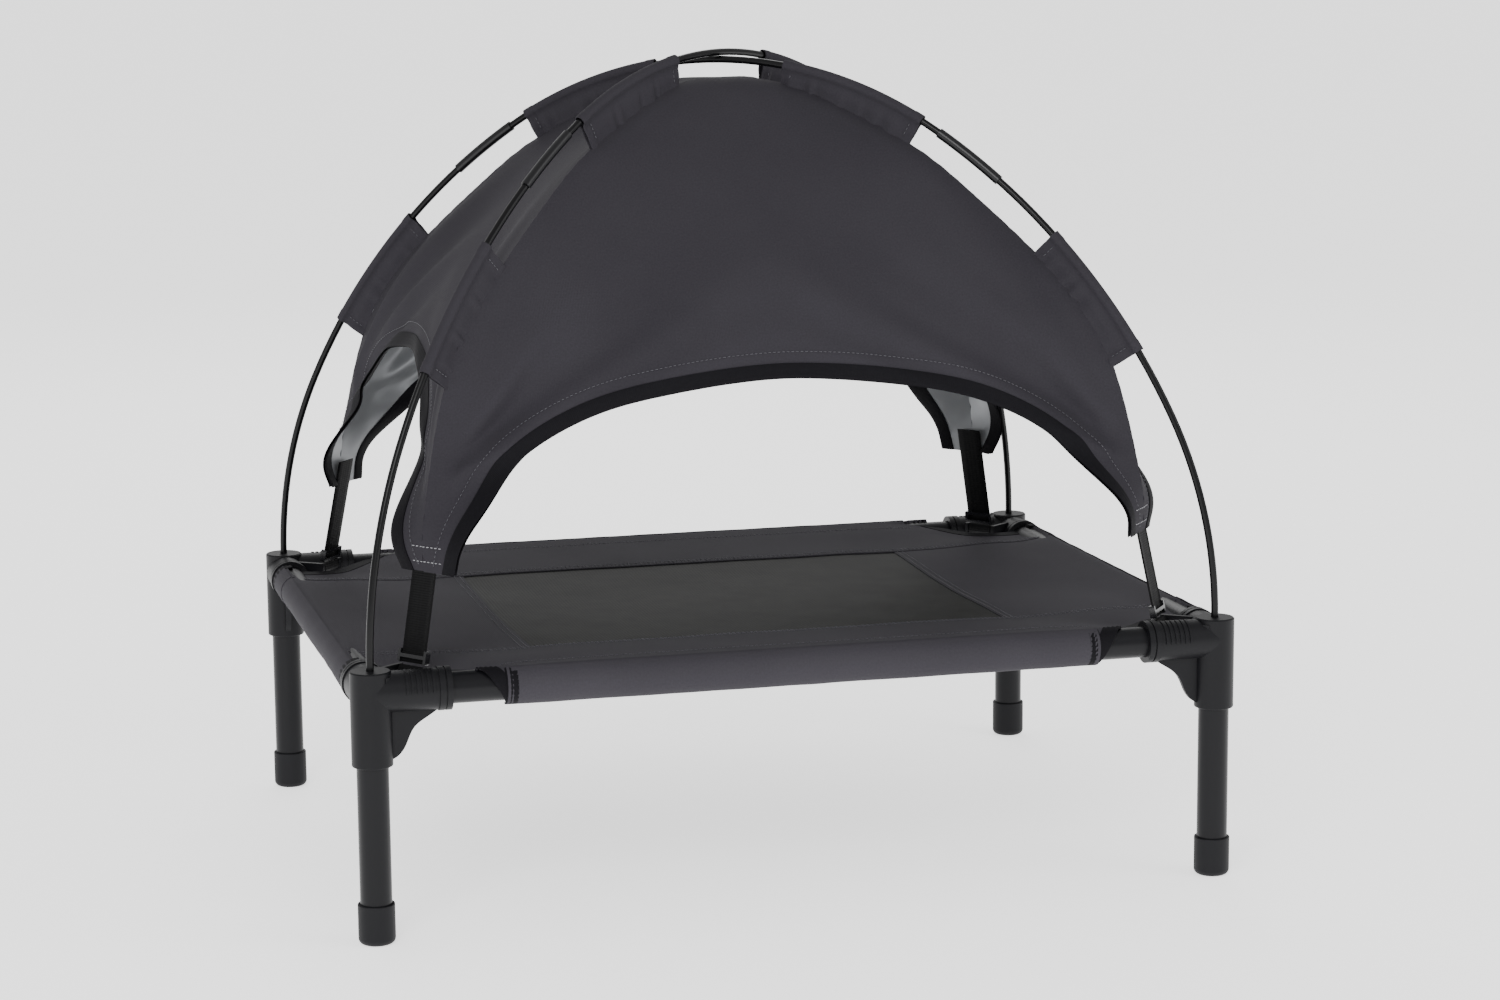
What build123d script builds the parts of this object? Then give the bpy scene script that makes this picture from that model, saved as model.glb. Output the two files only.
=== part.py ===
from build123d import *
from math import atan2, cos, degrees, hypot, radians, sin
import os

# A raised pet cot with a tent canopy on two crossed poles.
# Millimetres, +Z up, origin on the floor under the middle of the bed.
# +X runs along the long side, and the front is towards -Y.

# ---- driving dimensions -------------------------------------------------
post_spacing_x = 584.0        # between the leg axes along the long side
post_spacing_y = 434.0        # between the leg axes along the short side
rail_height = 167.5           # rail axis above the floor
pole_peak = 562.0             # height where the two poles cross, midway between them

tube_d = 21.0                 # legs and rails
tube_wall = 1.2
fit_gap = 0.1                 # radial room of a pushed-in tube

socket_wall = 2.9             # plastic round the tubes
long_socket_reach = 52.0      # from the leg axis to the mouth of a long rail's socket
short_socket_reach = 38.0     # the same for a short rail's socket
sleeve_drop = 48.5            # from the rail axis to the bottom of the upright sleeve
sleeve_rise = 1.0             # the sleeve's top stands this far above the sockets
leg_stop_floor = 4.9          # plastic between the leg's end and the rails' bores
rail_stop_gap = 0.4           # between the ends of the two rails' bores
collar_rise = 0.9             # how far the collar stands out from the socket
collar_length = 8.5
collar_groove = 1.0
rib_count = 6
rib_pitch = 3.5
rib_width = 1.6
rib_height = 0.6
rib_start = 11.5              # from the socket's mouth to the first rib
gusset_thickness = 4.0
gusset_lift = 3.5             # from the sleeve's bottom to the gusset's foot
gusset_clear = 9.0            # from the socket's mouth to the gusset's thin end

cap_wall = 1.65
cap_height = 27.0
cap_floor = 3.0
cap_round = 4.0

pole_d = 5.0
pole_hole_gap = 0.3           # radial room of a pole end in its hole
pole_insert = 27.0            # length of pole inside the connector
low_bend_end = 26.0           # degrees turned where the lower bend ends
mid_bend_end = 57.0           # degrees turned where the middle bend ends
mid_bend_radius = 480.0
ferrule_wall = 0.95
ferrule_length = 54.0
ferrule_turn = 53.5           # degrees turned at the middle of a ferrule
ferrule_gap = 0.05

fabric = 1.2                  # thickness of a cloth panel
binding = 0.8                 # thickness of a bound edge on its panel
arch_band = 10.0              # width of an arch's binding
front_arch_drop = 183.0       # from the canopy's crown down to an arch's top
side_arch_drop = 174.0
tunnel_gap = 0.3              # radial room of a pole in a sewn sleeve
web_gap = 0.2                 # between a sleeve's web and the seam it is sewn to
upper_sleeve = (80.5, 59.4)   # degrees turned along the pole at a sleeve's two ends
lower_sleeve = (43.9, 32.0)
# the canopy's corner seam: degrees turned along the pole, and distance inside it
seam_stations = [(90, 15), (79, 15), (60, 20), (50, 21), (40, 18), (32, 21), (18.5, 38), (12, 46)]

sling_sag = 10.5
sling_gap = 0.1
sling_lift = 0.3              # the stretched cloth stands this far above its turns round the rails
mesh_length = 356.0
mesh_width = 280.0
bare_long_rail = 33.0         # from a socket's mouth to the sling's cut-out
bare_short_rail = 4.0
cut_band = 9.0                # width of the cut-out's binding

strap_width = 20.0
strap_thickness = 1.2
strap_bar_d = 4.0
strap_socket_gap = 1.44       # level room between the webbing and the long rail's socket
strap_bar_rise = 6.5          # above the rail axis
lug_thickness = 3.0
lug_gap = 1.0                 # between the webbing's edge and a lug
lug_height = 9.0
slider_side = 2.15            # thickness of the slider's two ends
slider_height = 9.0
slider_stand = 4.0            # from the strap bar to the slider
slider_face = 1.2             # thickness of the slider's front and of its back
slider_gap = 0.35             # room round the webbing inside the slider
slider_bar = 2.4

# ---- derived places -----------------------------------------------------
half_x = post_spacing_x / 2
half_y = post_spacing_y / 2
diagonal = hypot(half_x, half_y)
toward_x = half_x / diagonal
toward_y = half_y / diagonal
tube_r = tube_d / 2
bore_r = tube_r + fit_gap
socket_r = bore_r + socket_wall
collar_r = socket_r + collar_rise
sleeve_top = rail_height + socket_r + sleeve_rise
sleeve_low = rail_height - sleeve_drop
leg_stop = rail_height - bore_r - leg_stop_floor
rail_stop = bore_r + rail_stop_gap
gusset_drop = sleeve_drop - gusset_lift
strap_bar_height = rail_height + strap_bar_rise
strap_bar_inset = (socket_r + strap_socket_gap + strap_width / 2 * toward_x) / toward_y
beyond = post_spacing_x + post_spacing_y      # further than any point of the object

corners = {
    "front_left": (-1, -1),
    "front_right": (1, -1),
    "back_left": (-1, 1),
    "back_right": (1, 1),
}
os.makedirs("parts", exist_ok=True)


def keep(piece, name):
    """Label a finished piece and write its file."""
    piece.label = name
    export_step(piece, f"parts/{name}.step")


def into_corner(piece, signs):
    """The back-right piece, mirrored into another corner."""
    if signs[0] < 0:
        piece = mirror(piece, about=Plane.YZ)
    if signs[1] < 0:
        piece = mirror(piece, about=Plane.XZ)
    return piece


def upright_plane(direction, origin=(0, 0, 0)):
    """A vertical plane: its x runs along a level direction, and its y is up."""
    along = Vector(*direction)
    return Plane(origin, x_dir=along, z_dir=along.cross(Vector(0, 0, 1)))


# ---- corner connector, made in the back-right corner -----------------------
post = (half_x, half_y)
rail_corner = (half_x, half_y, rail_height)
to_left = Plane(rail_corner, x_dir=(0, -1, 0), z_dir=(-1, 0, 0))
to_front = Plane(rail_corner, x_dir=(1, 0, 0), z_dir=(0, -1, 0))
sockets = [(to_left, long_socket_reach), (to_front, short_socket_reach)]
inward = Plane((0, 0, strap_bar_height), x_dir=(toward_x, toward_y, 0))
bar_reach = diagonal - strap_bar_inset
lug_offset = strap_width / 2 + lug_gap + lug_thickness / 2
lug_end = bar_reach - strap_bar_d / 2 - 1

with BuildPart() as connector:
    with BuildSketch(Plane((*post, sleeve_low))):
        Circle(socket_r)
    extrude(amount=sleeve_top - sleeve_low)
    for socket_plane, reach in sockets:
        with BuildSketch(socket_plane):
            Circle(socket_r)
        extrude(amount=reach)
        with BuildSketch(socket_plane.offset(reach - collar_length)):
            Circle(collar_r)
        extrude(amount=collar_length)
        with BuildSketch(socket_plane.offset(reach - (collar_length + collar_groove) / 2)):
            Circle(collar_r + 1)
            Circle(socket_r, mode=Mode.SUBTRACT)
        extrude(amount=collar_groove, mode=Mode.SUBTRACT)
        # the S-shaped gusset under the socket
        gusset_reach = reach - gusset_clear
        gusset_root = socket_r - 1
        gusset_run = gusset_reach - gusset_root
        with BuildSketch(upright_plane(socket_plane.z_dir, rail_corner)):
            with BuildLine():
                edge_curve = Spline(
                    (gusset_root, -gusset_drop),
                    (gusset_root + 0.30 * gusset_run, -0.81 * gusset_drop),
                    (gusset_root + 0.50 * gusset_run, -0.54 * gusset_drop),
                    (gusset_root + 0.80 * gusset_run, -0.39 * gusset_drop),
                    (gusset_reach, -socket_r),
                )
                Polyline(edge_curve @ 1, (gusset_reach, 0), (0, 0), (0, -gusset_drop), edge_curve @ 0)
            make_face()
        extrude(amount=gusset_thickness / 2, both=True)
    # moulded ribs on the upper outer side of the long rail's socket
    for rib in range(rib_count):
        with BuildSketch(to_left.offset(long_socket_reach - rib_start - rib * rib_pitch)):
            Circle(socket_r + rib_height)
            Rectangle(2 * collar_r, 2 * collar_r, align=(Align.CENTER, Align.MAX), mode=Mode.SUBTRACT)
            Rectangle(2 * collar_r, 2 * collar_r, align=(Align.MIN, Align.CENTER), mode=Mode.SUBTRACT)
            Circle(socket_r - 1)
        extrude(amount=-rib_width)
    # two lugs and the bar between them, which the canopy's webbing turns round
    with BuildSketch(inward.offset(-lug_height / 2)):
        with Locations(((diagonal + lug_end) / 2, lug_offset), ((diagonal + lug_end) / 2, -lug_offset)):
            Rectangle(diagonal - lug_end, lug_thickness)
    extrude(amount=lug_height)
    with BuildSketch(upright_plane((toward_x, toward_y, 0))):
        with Locations((bar_reach, strap_bar_height)):
            Circle(strap_bar_d / 2)
    extrude(amount=lug_offset, both=True)
    # bores for the leg, the rails and the pole
    with BuildSketch(Plane((*post, sleeve_low))):
        Circle(bore_r)
    extrude(amount=leg_stop - sleeve_low, mode=Mode.SUBTRACT)
    for socket_plane, reach in sockets:
        with BuildSketch(socket_plane.offset(rail_stop)):
            Circle(bore_r)
        extrude(amount=reach, mode=Mode.SUBTRACT)
    with BuildSketch(Plane((*post, sleeve_top))):
        Circle(pole_d / 2 + pole_hole_gap)
    extrude(amount=-pole_insert - pole_hole_gap, mode=Mode.SUBTRACT)
    top_rim = connector.edges().filter_by(GeomType.CIRCLE).group_by(Axis.Z)[-1]
    chamfer(top_rim.sort_by(SortBy.RADIUS)[-1], length=0.8)
    low_rim = connector.edges().filter_by(GeomType.CIRCLE).group_by(Axis.Z)[0]
    fillet(low_rim.sort_by(SortBy.RADIUS)[-1], radius=1)

# ---- leg and foot cap ---------------------------------------------------
with BuildPart() as leg:
    with BuildSketch(Plane((*post, cap_floor))):
        Circle(tube_r)
        Circle(tube_r - tube_wall, mode=Mode.SUBTRACT)
    extrude(amount=leg_stop - cap_floor)

with BuildPart() as foot_cap:
    with BuildSketch(Plane((*post, 0))):
        Circle(bore_r + cap_wall)
    extrude(amount=cap_height)
    fillet(foot_cap.edges().group_by(Axis.Z)[0], radius=cap_round)
    with BuildSketch(Plane((*post, cap_floor))):
        Circle(bore_r)
    extrude(amount=cap_height, mode=Mode.SUBTRACT)
    mouth = foot_cap.edges().filter_by(GeomType.CIRCLE).group_by(Axis.Z)[-1]
    fillet(mouth.sort_by(SortBy.RADIUS)[-1], radius=0.8)

# ---- rails --------------------------------------------------------------
rail_axes = {
    "front_rail": (Plane((0, -half_y, rail_height), z_dir=(1, 0, 0)), half_x - rail_stop),
    "back_rail": (Plane((0, half_y, rail_height), z_dir=(1, 0, 0)), half_x - rail_stop),
    "left_rail": (Plane((-half_x, 0, rail_height), z_dir=(0, 1, 0)), half_y - rail_stop),
    "right_rail": (Plane((half_x, 0, rail_height), z_dir=(0, 1, 0)), half_y - rail_stop),
}
for rail_name, (rail_plane, half_length) in rail_axes.items():
    with BuildPart() as rail:
        with BuildSketch(rail_plane):
            Circle(tube_r)
            Circle(tube_r - tube_wall, mode=Mode.SUBTRACT)
        extrude(amount=half_length, both=True)
    keep(rail.part, rail_name)

# ---- sling --------------------------------------------------------------
# The cloth between the rails is a shallow dish whose four edges are straight.
# Its surface is a two-way parabola: a quarter of the middle control point's
# drop reaches the cloth.
wrap_inner = tube_r + sling_gap
wrap_outer = wrap_inner + fabric
sling_top = rail_height + wrap_outer + sling_lift
dish_points = []
for grid_x in (-half_x, 0, half_x):
    dish_points.append([])
    for grid_y in (-half_y, 0, half_y):
        drop = 4 * sling_sag if grid_x == 0 and grid_y == 0 else 0
        dish_points[-1].append((grid_x, grid_y, sling_top - drop))
dish = Face.make_bezier_surface(dish_points)

cut_length = long_socket_reach + bare_long_rail
cut_width = short_socket_reach + bare_short_rail
seam_x = mesh_length / 2
seam_y = mesh_width / 2
hem_x = half_x - cut_length - cut_band
hem_y = half_y - cut_width - cut_band


def corner_ovals(extra, mode):
    """The oval cut-outs at the sling's four corners, grown by an extra width."""
    with GridLocations(post_spacing_x, post_spacing_y, 2, 2):
        Ellipse(cut_length + extra, cut_width + extra, mode=mode)


def sling_panel(low, high, wraps):
    """A rectangle of the dish between two corners, with its turns round the rails."""
    with BuildPart() as panel:
        thicken(dish, amount=fabric, normal_override=(0, 0, -1))
        with BuildSketch():
            with Locations(((low[0] + high[0]) / 2, (low[1] + high[1]) / 2)):
                Rectangle(high[0] - low[0], high[1] - low[1])
            corner_ovals(cut_band, Mode.SUBTRACT)
        extrude(amount=beyond, mode=Mode.INTERSECT)
        for start, run, wrap_length in wraps:
            with BuildSketch(Plane((*start, rail_height), z_dir=run)):
                Circle(wrap_outer)
                Circle(wrap_inner, mode=Mode.SUBTRACT)
            extrude(amount=wrap_length)
    return panel.part


along_x = (1, 0, 0)
along_y = (0, 1, 0)
side_wrap = hem_y - seam_y
for strip_name, side in (("front", -1), ("back", 1)):
    short_start = min(side * seam_y, side * hem_y)
    strip_wraps = [
        ((-hem_x, side * half_y), along_x, 2 * hem_x),
        ((-half_x, short_start), along_y, side_wrap),
        ((half_x, short_start), along_y, side_wrap),
    ]
    strip_low = (-half_x, min(side * seam_y, side * half_y))
    strip_high = (half_x, max(side * seam_y, side * half_y))
    keep(sling_panel(strip_low, strip_high, strip_wraps), f"sling_{strip_name}_strip")

for panel_name, side in (("left", -1), ("right", 1)):
    end_wrap = [((side * half_x, -seam_y), along_y, mesh_width)]
    end_low = (min(side * seam_x, side * half_x), -seam_y)
    end_high = (max(side * seam_x, side * half_x), seam_y)
    keep(sling_panel(end_low, end_high, end_wrap), f"sling_{panel_name}_panel")

keep(sling_panel((-seam_x, -seam_y), (seam_x, seam_y), []), "sling_mesh_panel")

with BuildPart() as sling_bindings:
    thicken(dish, amount=fabric, normal_override=(0, 0, -1))
    with BuildSketch():
        corner_ovals(cut_band, Mode.ADD)
        corner_ovals(0, Mode.SUBTRACT)
    extrude(amount=beyond, mode=Mode.INTERSECT)
keep(sling_bindings.part, "sling_corner_bindings")

# ---- poles --------------------------------------------------------------
# In its own upright plane, x is the distance from the middle and y the height.
# Half a pole is three bends that follow each other smoothly: it leaves the
# connector upright, has turned 90 degrees at the top, and the radii of its
# lower and upper bends make it meet the middle at its peak.


def step(start, turn, distance):
    """The point at a distance from another, in the direction of an angle in radians."""
    return (start[0] + distance * cos(turn), start[1] + distance * sin(turn))


def pole_bends(peak):
    """Centre and radius of a half pole's lower, middle and upper bend."""
    low, mid = radians(low_bend_end), radians(mid_bend_end)
    run = diagonal - mid_bend_radius * (cos(low) - cos(mid))
    rise = peak - sleeve_top - mid_bend_radius * (sin(mid) - sin(low))
    scale = (1 - cos(low)) * (1 - sin(mid)) - cos(mid) * sin(low)
    low_radius = (run * (1 - sin(mid)) - rise * cos(mid)) / scale
    high_radius = (rise * (1 - cos(low)) - run * sin(low)) / scale
    low_centre = (diagonal - low_radius, sleeve_top)
    mid_centre = step(low_centre, low, low_radius - mid_bend_radius)
    high_centre = step(mid_centre, mid, mid_bend_radius - high_radius)
    return (low_centre, low_radius), (mid_centre, mid_bend_radius), (high_centre, high_radius)


def rod(path_builder, outer, inner=0):
    """A round bar or tube along the path of a line builder."""
    path = path_builder.wire()
    with BuildPart() as bar:
        with BuildSketch(Plane(path @ 0, z_dir=path % 0)):
            Circle(outer)
            if inner:
                Circle(inner, mode=Mode.SUBTRACT)
        sweep(path=path)
    return bar.part


ferrule_bore_r = pole_d / 2 + ferrule_gap
peak_shift = ferrule_bore_r
poles = {
    "long_pole_upper": ("front_left", "back_right", pole_peak + peak_shift),
    "long_pole_lower": ("back_left", "front_right", pole_peak - peak_shift),
}
arm_planes = {}
arm_bends = {}
for near, far, peak in poles.values():
    low_bend, mid_bend, high_bend = pole_bends(peak)
    for corner in (near, far):
        signs = corners[corner]
        arm = upright_plane((signs[0] * toward_x, signs[1] * toward_y, 0))
        arm_planes[corner] = arm
        arm_bends[corner] = (low_bend, mid_bend, high_bend)
        with BuildLine(arm) as end_path:
            Line((diagonal, sleeve_top - pole_insert), (diagonal, sleeve_top))
            CenterArc(low_bend[0], low_bend[1], 0, low_bend_end)
            CenterArc(mid_bend[0], mid_bend[1], low_bend_end, ferrule_turn - low_bend_end)
        keep(rod(end_path, pole_d / 2), f"pole_section_{corner}")
        half_ferrule = degrees(ferrule_length / 2 / mid_bend_radius)
        with BuildLine(arm) as ferrule_path:
            CenterArc(mid_bend[0], mid_bend[1], ferrule_turn - half_ferrule, 2 * half_ferrule)
        ferrule = rod(ferrule_path, ferrule_bore_r + ferrule_wall, ferrule_bore_r)
        keep(ferrule, f"ferrule_{corner}")
    with BuildLine(arm_planes[near]) as middle_path:
        CenterArc(mid_bend[0], mid_bend[1], ferrule_turn, mid_bend_end - ferrule_turn)
        CenterArc(high_bend[0], high_bend[1], mid_bend_end, 180 - 2 * mid_bend_end)
        far_centre = (-mid_bend[0][0], mid_bend[0][1])
        CenterArc(far_centre, mid_bend[1], 180 - mid_bend_end, mid_bend_end - ferrule_turn)
    keep(rod(middle_path, pole_d / 2), f"pole_section_middle_{near}_to_{far}")

# ---- canopy -------------------------------------------------------------
# The four corner seams hang inside the poles. Each panel is stretched straight
# from seam to seam, so its section is the seam's outline, seen along the panel.
canopy_bends = pole_bends(pole_peak)


def seam_point(turn, inside):
    """A point of the corner seam: distance from the middle, and height."""
    bend = canopy_bends[0] if turn < low_bend_end else canopy_bends[1]
    if turn > mid_bend_end:
        bend = canopy_bends[2]
    centre, radius = bend
    return step(centre, radians(turn), radius - inside)


seam = [seam_point(turn, inside) for turn, inside in seam_stations]
crown_height = seam[0][1]
tip_reach, tip_height = seam[-1]
panels = {
    "front": ((0, -1, 0), toward_y, toward_x, crown_height - front_arch_drop),
    "back": ((0, 1, 0), toward_y, toward_x, crown_height - front_arch_drop),
    "left": ((-1, 0, 0), toward_x, toward_y, crown_height - side_arch_drop),
    "right": ((1, 0, 0), toward_x, toward_y, crown_height - side_arch_drop),
}
# half an arch, as shares of the tip's distance to the side and of the arch's rise
front_arch = [(0.975, 0), (0.90, 0.345), (0.78, 0.60), (0.60, 0.80), (0.37, 0.925), (0, 1)]
side_arch = [(0.975, 0), (0.90, 0.22), (0.80, 0.46), (0.66, 0.73), (0.38, 0.93), (0, 1)]


def seam_profile(share, shift):
    """The corner seam seen along a panel, moved outwards and up by a shift."""
    return [(reach * share + shift, height + shift) for reach, height in seam]


def cloth_layer(outward, depth_share, width_share, inner, outer):
    """One panel's full sheet, between two shifts of the seam's outline."""
    far_side = Vector(*outward) * (beyond * depth_share)
    to_side = Vector(*outward).cross(Vector(0, 0, 1)) * (beyond * width_share)
    with BuildPart() as layer:
        with BuildSketch(upright_plane(outward)):
            with BuildLine():
                low_edge = Spline(*seam_profile(depth_share, inner))
                high_edge = Spline(*seam_profile(depth_share, outer))
                Line(low_edge @ 0, high_edge @ 0)
                Line(low_edge @ 1, high_edge @ 1)
            make_face()
        extrude(amount=tip_reach, both=True)
        with BuildSketch(Plane((0, 0, tip_height))):
            with BuildLine():
                Polyline((0, 0), far_side + to_side, far_side - to_side, close=True)
            make_face()
        extrude(amount=crown_height, mode=Mode.INTERSECT)
    return layer.part


def arch_opening(outward, width_share, arch_height, arch_shape, grow):
    """The space under an arch, grown by a width, from the middle outwards."""
    half = []
    for side_share, rise_share in arch_shape:
        side_at = side_share * tip_reach * width_share
        half.append((side_at, tip_height + rise_share * (arch_height - tip_height)))
    arch = half + [(-side_at, height) for side_at, height in reversed(half[:-1])]
    stations = []
    for index, (side_at, height) in enumerate(arch):
        before = arch[max(index - 1, 0)]
        after = arch[min(index + 1, len(arch) - 1)]
        outward_turn = atan2(after[1] - before[1], after[0] - before[0]) - radians(90)
        stations.append(step((side_at, height), outward_turn, grow))
    with BuildPart() as opening:
        with BuildSketch(Plane((0, 0, 0), x_dir=Vector(0, 0, 1).cross(Vector(*outward)), z_dir=outward)):
            with BuildLine():
                arch_line = Spline(*stations)
                Polyline(arch_line @ 1, (stations[-1][0], 0), (stations[0][0], 0), arch_line @ 0)
            make_face()
        extrude(amount=beyond)
    return opening.part


for panel_name, (outward, depth_share, width_share, arch_height) in panels.items():
    arch_shape = front_arch if panel_name in ("front", "back") else side_arch
    arch = (outward, width_share, arch_height, arch_shape)
    with BuildPart() as canopy_panel:
        add(cloth_layer(outward, depth_share, width_share, -fabric, 0))
        add(arch_opening(*arch, 0), mode=Mode.SUBTRACT)
    keep(canopy_panel.part, f"canopy_{panel_name}_panel")
    with BuildPart() as arch_binding:
        add(cloth_layer(outward, depth_share, width_share, 0, binding))
        add(arch_opening(*arch, arch_band), mode=Mode.INTERSECT)
        add(arch_opening(*arch, 0), mode=Mode.SUBTRACT)
    keep(arch_binding.part, f"canopy_{panel_name}_binding")


# ---- pole sleeves -------------------------------------------------------
def pole_sleeve(arm, bend, ends):
    """A sewn tunnel round the pole, and its web down to the corner seam."""
    centre, radius = bend
    turn_high, turn_low = ends
    tunnel_inner = pole_d / 2 + tunnel_gap
    with BuildLine(arm) as tunnel_path:
        CenterArc(centre, radius, turn_low, turn_high - turn_low)
    tunnel = rod(tunnel_path, tunnel_inner + fabric, tunnel_inner)
    with BuildPart() as sleeve:
        add(tunnel)
        with BuildSketch(arm):
            with BuildLine():
                web_edge = CenterArc(centre, radius - tunnel_inner, turn_low, turn_high - turn_low)
                Polyline(web_edge @ 1, centre, web_edge @ 0)
            make_face()
            with BuildLine():
                seam_line = Spline(*seam_profile(1, web_gap))
                Polyline(seam_line @ 1, (beyond, 0), (-beyond, 0), (-beyond, crown_height), seam_line @ 0)
            make_face(mode=Mode.SUBTRACT)
        extrude(amount=fabric / 2, both=True)
    return sleeve.part


# ---- straps -------------------------------------------------------------
def on_strap(along):
    """A point of the strap's middle line, measured up from the strap bar."""
    return step(strap_foot, strap_lean, along)


strap_foot = (bar_reach, strap_bar_height)
strap_head = (tip_reach - strap_thickness / 2, tip_height)
strap_lean = atan2(strap_head[1] - strap_foot[1], strap_head[0] - strap_foot[0])
slider_low = strap_bar_d / 2 + slider_stand
slider_rise = slider_low + slider_height / 2
slider_width = strap_width + 2 * (slider_gap + slider_side)
half_cut = strap_thickness / 2 / sin(strap_lean)      # half the webbing, cut level

for corner, signs in corners.items():
    arm = arm_planes[corner]
    low_bend, mid_bend, high_bend = arm_bends[corner]
    keep(into_corner(connector.part, signs), f"connector_{corner}")
    keep(into_corner(leg.part, signs), f"leg_{corner}")
    keep(into_corner(foot_cap.part, signs), f"foot_cap_{corner}")
    keep(pole_sleeve(arm, high_bend, upper_sleeve), f"upper_sleeve_{corner}")
    keep(pole_sleeve(arm, mid_bend, lower_sleeve), f"lower_sleeve_{corner}")

    strap_end = on_strap(slider_low + slider_gap)
    with BuildPart() as strap:
        with BuildSketch(arm):
            with BuildLine():
                Polyline(
                    (strap_end[0] - half_cut, strap_end[1]),
                    (strap_end[0] + half_cut, strap_end[1]),
                    (strap_head[0] + half_cut, strap_head[1]),
                    (strap_head[0] - half_cut, strap_head[1]),
                    close=True,
                )
            make_face()
        extrude(amount=strap_width / 2, both=True)
    keep(strap.part, f"strap_{corner}")

    # the webbing's turn round the strap bar
    turn_top = on_strap(slider_low - slider_gap - strap_thickness)
    turn_inner = strap_bar_d / 2 + sling_gap
    with BuildPart() as strap_turn:
        with BuildSketch(arm):
            with Locations(strap_foot):
                Circle(turn_inner + strap_thickness)
            with Locations(turn_top):
                Circle(strap_thickness)
            make_hull()
        extrude(amount=strap_width / 2, both=True)
        with BuildSketch(arm):
            with Locations(strap_foot):
                Circle(turn_inner)
        extrude(amount=strap_width / 2, both=True, mode=Mode.SUBTRACT)
    keep(strap_turn.part, f"strap_turn_{corner}")

    # the slider: a centre bar in front of the webbing, two bars behind it
    slider_at = on_strap(slider_rise)
    slider_origin = arm.x_dir * slider_at[0] + Vector(0, 0, slider_at[1])
    outward_face = arm.x_dir * sin(strap_lean) - Vector(0, 0, cos(strap_lean))
    slider_plane = Plane(slider_origin, x_dir=arm.z_dir, z_dir=outward_face)
    channel = strap_thickness + 2 * slider_gap
    window_width = strap_width + 2 * slider_gap
    with BuildPart() as slider:
        with BuildSketch(slider_plane.offset(-channel / 2 - slider_face)):
            RectangleRounded(slider_width, slider_height, 1.5)
        extrude(amount=channel + 2 * slider_face)
        with BuildSketch(slider_plane.offset(-channel / 2)):
            Rectangle(window_width, slider_height)
        extrude(amount=channel, mode=Mode.SUBTRACT)
        with BuildSketch(slider_plane.offset(channel / 2)):
            Rectangle(window_width, slider_height)
            Rectangle(window_width, slider_bar, mode=Mode.SUBTRACT)
        extrude(amount=slider_face, mode=Mode.SUBTRACT)
        with BuildSketch(slider_plane.offset(-channel / 2)):
            Rectangle(window_width, slider_height - 2 * slider_bar)
        extrude(amount=-slider_face, mode=Mode.SUBTRACT)
    keep(slider.part, f"strap_slider_{corner}")
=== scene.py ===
# %% [markdown]
# # A raised pet cot under a crossed-pole tent
# The CAD model already holds every size and every joint. This lesson gives it its looks: the hard
# pieces keep their CAD meshes and get a finish, and each piece of cloth, tape and webbing is made
# again as the thin sewn sheet that it really is, in the place that its CAD solid holds.

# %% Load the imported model
import random
from bisect import bisect_right
from math import atan2, copysign, cos, exp, hypot, pi, radians, sin

import bmesh
import bpy
from mathutils import Matrix, Vector, noise


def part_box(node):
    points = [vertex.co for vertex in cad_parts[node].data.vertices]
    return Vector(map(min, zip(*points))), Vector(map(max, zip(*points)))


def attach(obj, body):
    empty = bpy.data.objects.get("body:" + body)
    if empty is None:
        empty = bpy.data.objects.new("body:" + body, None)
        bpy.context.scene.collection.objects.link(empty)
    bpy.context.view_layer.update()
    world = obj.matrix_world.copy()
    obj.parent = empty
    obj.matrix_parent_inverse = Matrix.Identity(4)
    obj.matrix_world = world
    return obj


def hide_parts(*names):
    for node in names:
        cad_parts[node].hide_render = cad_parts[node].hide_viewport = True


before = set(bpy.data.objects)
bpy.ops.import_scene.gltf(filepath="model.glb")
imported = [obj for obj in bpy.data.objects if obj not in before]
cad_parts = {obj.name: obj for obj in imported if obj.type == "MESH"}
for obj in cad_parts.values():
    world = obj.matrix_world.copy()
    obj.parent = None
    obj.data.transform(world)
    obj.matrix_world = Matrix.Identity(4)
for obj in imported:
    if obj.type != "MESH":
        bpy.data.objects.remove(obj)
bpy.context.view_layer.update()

mm = 0.001

# %% [markdown]
# ## The view
# The camera stands low in front of the bed, a little to the left, and looks slightly down. A long
# lens keeps the legs nearly parallel. Three angles and a place say all of it.

# %% Camera
def look_axes(azimuth, elevation, roll):
    """The camera's right, up and back directions."""
    back = Vector((sin(azimuth) * cos(elevation), -cos(azimuth) * cos(elevation), sin(elevation)))
    right = Vector((0, 0, 1)).cross(back).normalized()
    up = back.cross(right)
    return right * cos(roll) + up * sin(roll), up * cos(roll) - right * sin(roll), back


camera_data = bpy.data.cameras.new("camera")
camera_data.lens = 83.69
camera_data.sensor_width = 36
camera_data.clip_end = 50
camera = bpy.data.objects.new("camera", camera_data)
camera.location = (-613.1 * mm, -2406.9 * mm, 667.7 * mm)
view_axes = look_axes(radians(-14.728), radians(9.704), radians(-0.505))
camera.rotation_euler = Matrix(view_axes).transposed().to_euler()
bpy.context.scene.collection.objects.link(camera)
bpy.context.scene.camera = camera
print("camera at", tuple(camera.location))

# %% [markdown]
# ## Helpers for materials
# Hex colours are what a paint chart or a colour picker gives, and shaders want linear light, so one
# function turns them. Another adds a node with its settings and links, and a third puts a pattern on the
# shader's colour and bump, which keeps each material down to the lines that say what it is.

# %% Colour and node helpers
def colour(hex_code):
    """An sRGB hex colour as linear RGBA."""
    shares = [int(hex_code[start:start + 2], 16) / 255 for start in (1, 3, 5)]
    linear = [share / 12.92 if share <= 0.04045 else ((share + 0.055) / 1.055) ** 2.4 for share in shares]
    return (*linear, 1.0)


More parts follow.
